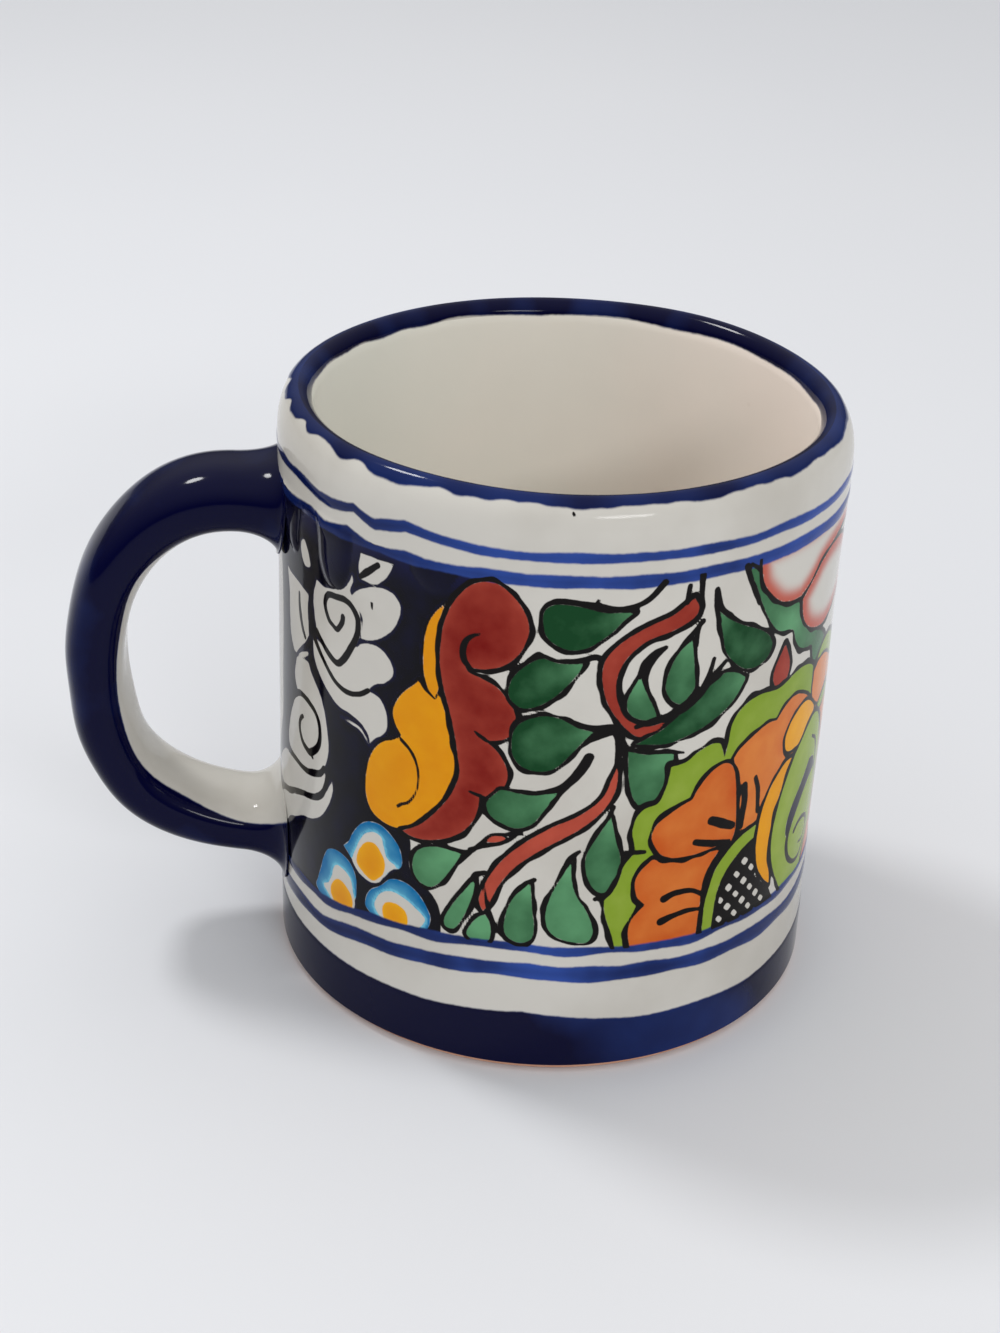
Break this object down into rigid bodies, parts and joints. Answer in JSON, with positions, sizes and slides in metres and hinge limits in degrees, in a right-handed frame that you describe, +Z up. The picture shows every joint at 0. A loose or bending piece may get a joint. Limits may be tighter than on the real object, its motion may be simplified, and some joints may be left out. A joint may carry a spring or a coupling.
{
  "type": "coffee mug",
  "caption": "Straight-sided glazed earthenware coffee mug with a rounded lip, a flat ring foot and a strap loop handle luted to the wall, for hot drinks.",
  "frame": {"origin": "on the cup's axis, in the plane that its foot stands on", "axes": "+Z up along the cup's axis, -X towards the handle, Y across the handle's plane"},
  "size_m": [0.1176, 0.085, 0.093],
  "materials": {
    "clay": "bare fired earthenware, matt and slightly sandy",
    "white_glaze": "glossy warm white tin glaze with faint specks",
    "painted_glaze": "glossy warm white tin glaze, hand painted with cobalt lines and a band of leaves, scrolls and flowers outlined in black",
    "cobalt_glaze": "glossy dark cobalt blue glaze, thin and brighter at its wavy edges"
  },
  "bodies": {
    "root": {"clay_body": "clay", "handle_core": "clay", "upper_lute": "clay", "lower_lute": "clay", "liner_glaze": "white_glaze", "wall_glaze": "painted_glaze", "rim_glaze": "cobalt_glaze", "foot_glaze": "cobalt_glaze", "handle_cobalt_glaze": "cobalt_glaze", "handle_white_glaze": "white_glaze"}
  },
  "joints": []
}
